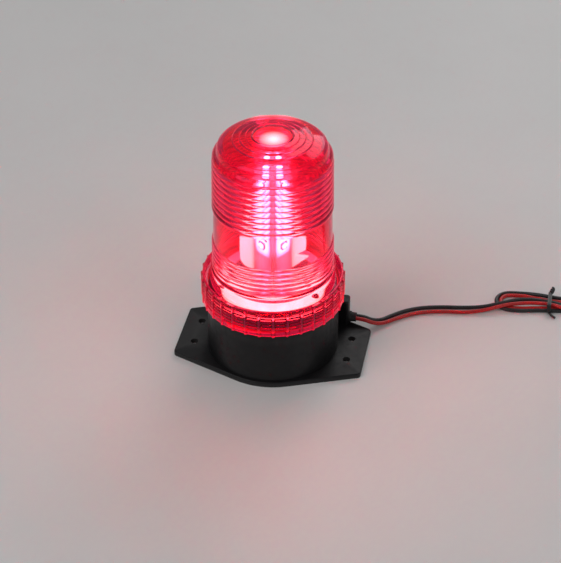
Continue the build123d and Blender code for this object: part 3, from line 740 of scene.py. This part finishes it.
def stripped_tips():
    """The bare ends of both leads: fine tinned strands, twisted round a straight one."""
    bm = bmesh.new()
    for route in (BLACK_HANK, RED_HANK):
        middle_y, middle_z = in_metres(route[-1:])[0][1:]
        for strand in range(STRANDS):
            points = []
            for step in range(TIP_STEPS + 1):
                share = step / TIP_STEPS
                turn = math.tau * (strand / (STRANDS - 1) + 0.8 * share)
                lay = (STRAND_LAY + STRAND_SPREAD * share**3) if strand < STRANDS - 1 else 0.0
                points.append((
                    TIP_START + (TIP_END - TIP_START) * share, middle_y + lay * math.cos(turn),
                    middle_z + lay * math.sin(turn),
                ))
            tube(bm, points, STRAND_R)
    return mesh_piece("lead_tips", bm, [TINNED], 60.0)


def twist_tie():
    """A ribbed plastic-coated wire tie: a loop round the folded lead, a twisted knot, a free end."""
    bm = bmesh.new()
    middle = Vector(TIE_MIDDLE)
    line = []
    for step in range(TIE_STEPS):
        turn = math.tau * step / TIE_STEPS
        out, up = (
            math.copysign(abs(value) ** TIE_SQUARENESS, value)
            for value in (math.cos(turn), math.sin(turn))
        )
        line.append(middle + Vector((0, TIE_REACH[0] * out, TIE_REACH[1] * up)))
    loops = []
    for step, here in enumerate(line):
        along = (line[(step + 1) % TIE_STEPS] - line[step - 1]).normalized()
        outward = along.cross(Vector((1, 0, 0))).normalized()
        if outward.dot(here - middle) < 0:
            outward = -outward
        loops.append([
            bm.verts.new((here + Vector((across, 0, 0)) + outward * out) * MM)
            for across, out in TIE_SECTION
        ])
    skin(bm, loops, closed=True)
    for strand in range(2):
        helix = []
        for step in range(KNOT_STEPS + 1):
            share = step / KNOT_STEPS
            turn = math.pi * strand + math.tau * KNOT_TURNS * share
            spot = Vector(KNOT_START).lerp(Vector(KNOT_END), share)
            out = Vector((math.cos(turn), KNOT_FLATNESS * math.sin(turn), math.sin(turn)))
            helix.append((spot + KNOT_R * out) * MM)
        tube(bm, helix, TIE_END_R * MM, 10)
    tube(bm, in_metres(TIE_TAIL), TIE_END_R * MM, 10)
    return mesh_piece("twist_tie", bm, [TIE_PLASTIC], 40.0)


tips = stripped_tips()
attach(tips, "base")
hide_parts("lead_ends")
tie = twist_tie()
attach(tie, "base")
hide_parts("wire_tie")
lead_black = smooth_cord("lead_black_core", in_metres([*BLACK_ROUTE, *BLACK_HANK]), LEAD_R, BLACK_PVC)
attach(lead_black, "base")
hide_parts("lead_black", "lead_hank")
lead_red = smooth_cord("lead_red_core", in_metres([*RED_ROUTE, *RED_HANK]), LEAD_R, RED_PVC)
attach(lead_red, "base")
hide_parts("lead_red", "lead_hank")


# ---- LEDs and screws ---------------------------------------------------------------------------
def led_package(bm, place):
    """A square LED on its board: tinned feet, white body and lit domed window, facing along +Z."""
    for end in (-1, 1):
        block(bm, place @ at(0, end * LED_FOOT_OUT, LED_FOOT[2] / 2), LED_FOOT, 0.0001, TIN_SLOT)
    block(bm, place @ at(0, 0, LED_CASE[2] / 2), LED_CASE, 0.0003, CASE_SLOT)
    turned(bm, place, LED_WINDOW, 20, FACE_SLOT)


def chip_resistor(bm, place):
    """A small black resistor with tinned ends."""
    middle = RESISTOR_END[2] / 2
    block(bm, place @ at(0, 0, middle), RESISTOR_CASE, 0.0001, EPOXY_SLOT)
    for end in (-1, 1):
        block(bm, place @ at(0, end * RESISTOR_END_OUT, middle), RESISTOR_END, 0.0001, TIN_SLOT)


def led_strip(side):
    """The LEDs of one side board, with a resistor between each pair."""
    bm = bmesh.new()
    facing = Matrix.Rotation(CORE_TURN + math.tau * side / BOARD_SIDES, 4, "Z")
    outward = Matrix.Rotation(math.radians(90), 4, "Y")
    for number in range(LED_COUNT):
        z = LED_LOW + number * LED_PITCH
        led_package(bm, facing @ at(BOARD_FACE, 0, z) @ outward)
        if number < LED_COUNT - 1:
            shift = RESISTOR_SHIFT * (-1) ** number
            chip_resistor(bm, facing @ at(BOARD_FACE, shift, z + LED_PITCH / 2) @ outward)
    return mesh_piece(f"led_strip_{side + 1}", bm, [LED_BODY, LED_FACE, TINNED, EPOXY])


def top_led_cluster():
    """Four LEDs and four resistors on the round top board."""
    bm = bmesh.new()
    between = Matrix.Rotation(math.radians(45), 4, "Z")
    for side in range(BOARD_SIDES):
        facing = Matrix.Rotation(CORE_TURN + math.tau * side / BOARD_SIDES, 4, "Z")
        led_package(bm, facing @ at(TOP_LED_RING, 0, TOP_BOARD_FACE))
        chip_resistor(bm, facing @ between @ at(TOP_RESISTOR_RING, 0, TOP_BOARD_FACE))
    return mesh_piece("top_led_cluster", bm, [LED_BODY, LED_FACE, TINNED, EPOXY])


def cross_screws(name, ring_r, angles, level, outline, turned_over, material):
    """Cross-recessed screws round the axis at one level, each with its cross turned differently."""
    bm = bmesh.new()
    for number, angle in enumerate(angles):
        place = Matrix.Rotation(math.radians(angle), 4, "Z") @ at(ring_r, 0, level)
        if turned_over:
            place = place @ Matrix.Rotation(math.pi, 4, "X")
        turned(bm, place @ Matrix.Rotation(0.9 * number + 0.3, 4, "Z"), outline, 48)
    return mesh_piece(name, bm, [material], 30.0)


for strip_side in range(BOARD_SIDES):
    strip = led_strip(strip_side)
    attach(strip, "base")
    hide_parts(f"side_leds_{strip_side + 1}")
cluster = top_led_cluster()
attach(cluster, "base")
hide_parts("top_leds")
plate_heads = cross_screws(
    "plate_cross_screws", PLATE_SCREW_RING, PLATE_SCREW_ANGLES, PLATE_TOP, PAN_SCREW, False, DARK_STEEL,
)
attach(plate_heads, "base")
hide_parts("plate_screws")
cover_heads = cross_screws(
    "cover_cross_screws", COVER_SCREW_RING, COVER_SCREW_ANGLES, COVER_FACE, FLAT_SCREW, True, STEEL,
)
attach(cover_heads, "base")
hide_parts("cover_screws")


# ---- lens --------------------------------------------------------------------------------------
def crest(z):
    """Crest radius of the ribs at a height."""
    return RIB_R_LOW + (RIB_R_HIGH - RIB_R_LOW) * (z - FOOT_TOP) / (HIGH_RIBS_TOP - FOOT_TOP)


def gripped(radius, turn):
    """The collar's radius at an angle, where an upright half-round rib stands out of it."""
    pitch = math.tau / GRIP_RIBS
    off = (turn + pitch / 2) % pitch - pitch / 2
    middle = GRIP_CREST_R - GRIP_RIB_R
    across = middle * math.sin(off)
    if abs(across) >= GRIP_RIB_R:
        return radius
    return max(radius, middle * math.cos(off) + math.sqrt(GRIP_RIB_R**2 - across**2))


def collar_profile():
    """Rings of the collar from the bore's foot, outwards and up, to the trough's outer wall."""
    rings = [
        (COLLAR_BORE_R, COLLAR_LOW + 0.0004, None), (COLLAR_BORE_R + 0.0003, COLLAR_LOW, None),
        (COLLAR_R - 0.0006, COLLAR_LOW, None), (COLLAR_R - 0.0004, COLLAR_LOW, gripped),
        (COLLAR_R, COLLAR_LOW + 0.0004, gripped), (COLLAR_R, COLLAR_BAND_TOP - 0.0004, gripped),
        (COLLAR_R - 0.0002, COLLAR_BAND_TOP - 0.0001, gripped),
    ]
    groove = COLLAR_R - RING_DEPTH
    for number in range(COLLAR_RINGS):
        low = COLLAR_RINGS_LOW + number * COLLAR_RING_PITCH
        rings += [(groove, low, gripped), (groove, low + 0.0004, gripped)]
        for step in range(RING_STEPS + 1):
            swell = RING_SWELL * math.sin(math.pi * step / RING_STEPS)
            height = low + RING_START + RING_HEIGHT * step / RING_STEPS
            rings.append((COLLAR_R - RING_SWELL + swell, height, gripped))
    top = COLLAR_RINGS_LOW + COLLAR_RINGS * COLLAR_RING_PITCH
    rings += [
        (groove, top + 0.0002, gripped), (groove, COLLAR_TOP - 0.0011, gripped),
        (groove, COLLAR_TOP - 0.0009, None), (groove, COLLAR_TOP - 0.0006, None),
        (COLLAR_R - 0.0009, COLLAR_TOP - 0.0001, None), (COLLAR_R - 0.0011, COLLAR_TOP, None),
        (TROUGH_R + 0.0005, COLLAR_TOP, None), (TROUGH_R + 0.0002, COLLAR_TOP - 0.0002, None),
        (TROUGH_R + 0.0001, COLLAR_TOP - 0.0005, None), (TROUGH_R, TROUGH_FLOOR + 0.0005, None),
        (TROUGH_R - 0.0002, TROUGH_FLOOR + 0.0001, None), (TROUGH_R - 0.0005, TROUGH_FLOOR, None),
    ]
    return rings


def rib_points(low_end, high_end, count):
    """Rounded ribs with sharp valleys between them."""
    pitch = (high_end - low_end) / count
    points = []
    for rib in range(count):
        for step in range(RIB_STEPS):
            share = step / RIB_STEPS
            z = low_end + (rib + share) * pitch
            swell = math.sin(math.pi * share) ** 0.8
            points.append((crest(z) - RIB_DEPTH + RIB_DEPTH * swell, z))
    return points


def barrel_outside():
    """Outline of the barrel and dome from the trough's floor to the axis."""
    foot = rounded([
        (FOOT_R + 0.0004, TROUGH_FLOOR, 0), (FOOT_R, TROUGH_FLOOR, 0.0004),
        (FOOT_R - 0.0001, FOOT_TOP - 0.0008, 0.0006), (crest(FOOT_TOP) - RIB_DEPTH, FOOT_TOP - 0.0001, 0),
    ])
    low_ribs = rib_points(FOOT_TOP, LOW_RIBS_TOP, LOW_RIBS)
    band_levels = (LOW_RIBS_TOP, LOW_RIBS_TOP + 0.0004, BAND_MIDDLE, BAND_TOP - 0.0004)
    band = [(crest(z) - RIB_DEPTH, z) for z in band_levels]
    high_ribs = rib_points(BAND_TOP, HIGH_RIBS_TOP, HIGH_RIBS)
    dome = [(crest(HIGH_RIBS_TOP) - RIB_DEPTH, HIGH_RIBS_TOP, 0)]
    dome += [(r, z, 0.0006) for r, z in SHOULDER]
    dome += [(r, z, 0.0012) for r, z in DOME_WALL]
    for radius, low_z, high_z in DOME_STEPS:
        dome += [(radius + 0.0003, low_z, 0.0004), (radius - 0.0003, high_z, 0.0005)]
    dome += [(DOME_DISC_R, DOME_DISC_Z, 0.0004), (0.0060, DOME_DISC_Z, 0), (0.0020, DOME_DISC_Z, 0)]
    return [*foot, *low_ribs, *band, *high_ribs, *rounded(dome, 4)]


def barrel_inside():
    """Outline of the inside from the axis down to the web's underside."""
    dome = [(0.0020, DOME_INSIDE[0][1], 0), (0.0060, DOME_INSIDE[0][1], 0)]
    dome += [(r, z, 0.003) for r, z in DOME_INSIDE]
    dome += [(crest(INSIDE_TOP) - LENS_WALL, INSIDE_TOP, 0)]
    wall = [(crest(z) - LENS_WALL, z) for z in (*INSIDE_LEVELS, FOOT_TOP + 0.001)]
    foot = [
        (LENS_BORE_R, FOOT_TOP - 0.001), (LENS_BORE_R, FOOT_MIDDLE), (LENS_BORE_R, WEB_UNDER + 0.0003),
        (LENS_BORE_R + 0.0003, WEB_UNDER),
    ]
    return [*rounded(dome, 6), *wall, *foot]


def lens():
    """The whole lens as one closed wall: collar, ribbed barrel and stepped dome."""
    bm = bmesh.new()
    rings = [ring(bm, r, z, COLLAR_SEGMENTS, shape) for r, z, shape in collar_profile()]
    # The trough's wall is as clear as the barrel, and the last rings bound the dome's disc.
    trough_wall = len(rings) - 4
    rings += [ring(bm, r, z, BARREL_SEGMENTS) for r, z in barrel_outside()]
    disc_edge = len(rings) - 3
    for number, (one, two) in enumerate(zip(rings, rings[1:])):
        slot = LENS_SLOT
        if number < trough_wall:
            slot = COLLAR_SLOT
        elif number >= disc_edge:
            slot = DISC_SLOT
        bridge(bm, one, two, slot)
    fan(bm, rings[-1], DOME_DISC_Z, DISC_SLOT)
    inside = [ring(bm, r, z, BARREL_SEGMENTS) for r, z in barrel_inside()]
    fan(bm, inside[0], DOME_INSIDE[0][1])
    bore = (
        (COLLAR_BORE_R - 0.0003, WEB_UNDER), (COLLAR_BORE_R, WEB_UNDER - 0.0003),
        (COLLAR_BORE_R, (COLLAR_LOW + WEB_UNDER) / 2),
    )
    inside += [ring(bm, r, z, BARREL_SEGMENTS) for r, z in bore]
    inside.append(rings[0])
    for one, two in zip(inside, inside[1:]):
        bridge(bm, one, two)
    return mesh_piece("lens_shell", bm, [RED_LENS, RED_COLLAR, RED_DISC], 30.0)


def lens_threads():
    """Three thread ridges inside the collar, each easing out of the bore at its ends."""
    bm = bmesh.new()
    rise = THREAD_LEAD * THREAD_ANGLE / 360
    for start in range(THREAD_STARTS):
        loops = []
        for step in range(THREAD_STEPS + 1):
            share = step / THREAD_STEPS
            ease = min(1.0, 6 * min(share, 1 - share) + 0.15)
            turn = math.radians(start * 360 / THREAD_STARTS + THREAD_ANGLE * share)
            loop = []
            for out, up in THREAD_SECTION:
                radius = COLLAR_BORE_R + 0.00002 + out * (ease if out < 0 else 1.0)
                z = THREAD_LOW + rise * share + up
                loop.append(bm.verts.new((radius * math.cos(turn), radius * math.sin(turn), z)))
            loops.append(loop)
        skin(bm, loops)
    return mesh_piece("lens_threads", bm, [RED_COLLAR], 40.0)


lens_shell = lens()
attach(lens_shell, "lens")
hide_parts("lens")
threads = lens_threads()
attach(threads, "lens")


# ---- studio ------------------------------------------------------------------------------------
def area_light(name, place, size, watts):
    """A soft light aimed at the middle of the beacon."""
    data = bpy.data.lights.new(name, "AREA")
    data.shape = "DISK"
    data.size = size
    data.energy = watts
    light = link_object(name, data)
    light.location = place
    aim = Vector((0.0, 0.0, 0.07)) - Vector(place)
    light.rotation_euler = aim.to_track_quat("-Z", "Y").to_euler()


def studio():
    """A plain pale floor under soft light."""
    bm = bmesh.new()
    bmesh.ops.create_grid(bm, x_segments=1, y_segments=1, size=4.0)
    floor = mesh_piece("floor", bm, [pale_floor()])
    area_light("key", (-0.9, -0.8, 1.3), 1.2, 9.0)
    area_light("fill", (1.2, -0.6, 0.9), 1.4, 3.0)
    area_light("rim", (0.3, 1.3, 1.0), 1.0, 5.0)
    world = bpy.data.worlds.new("studio")
    world.use_nodes = True
    world.node_tree.nodes["Background"].inputs["Color"].default_value = (0.8, 0.8, 0.82, 1.0)
    world.node_tree.nodes["Background"].inputs["Strength"].default_value = 0.27
    bpy.context.scene.world = world
    bpy.context.scene.view_settings.view_transform = "Standard"


studio()

bpy.context.view_layer.update()
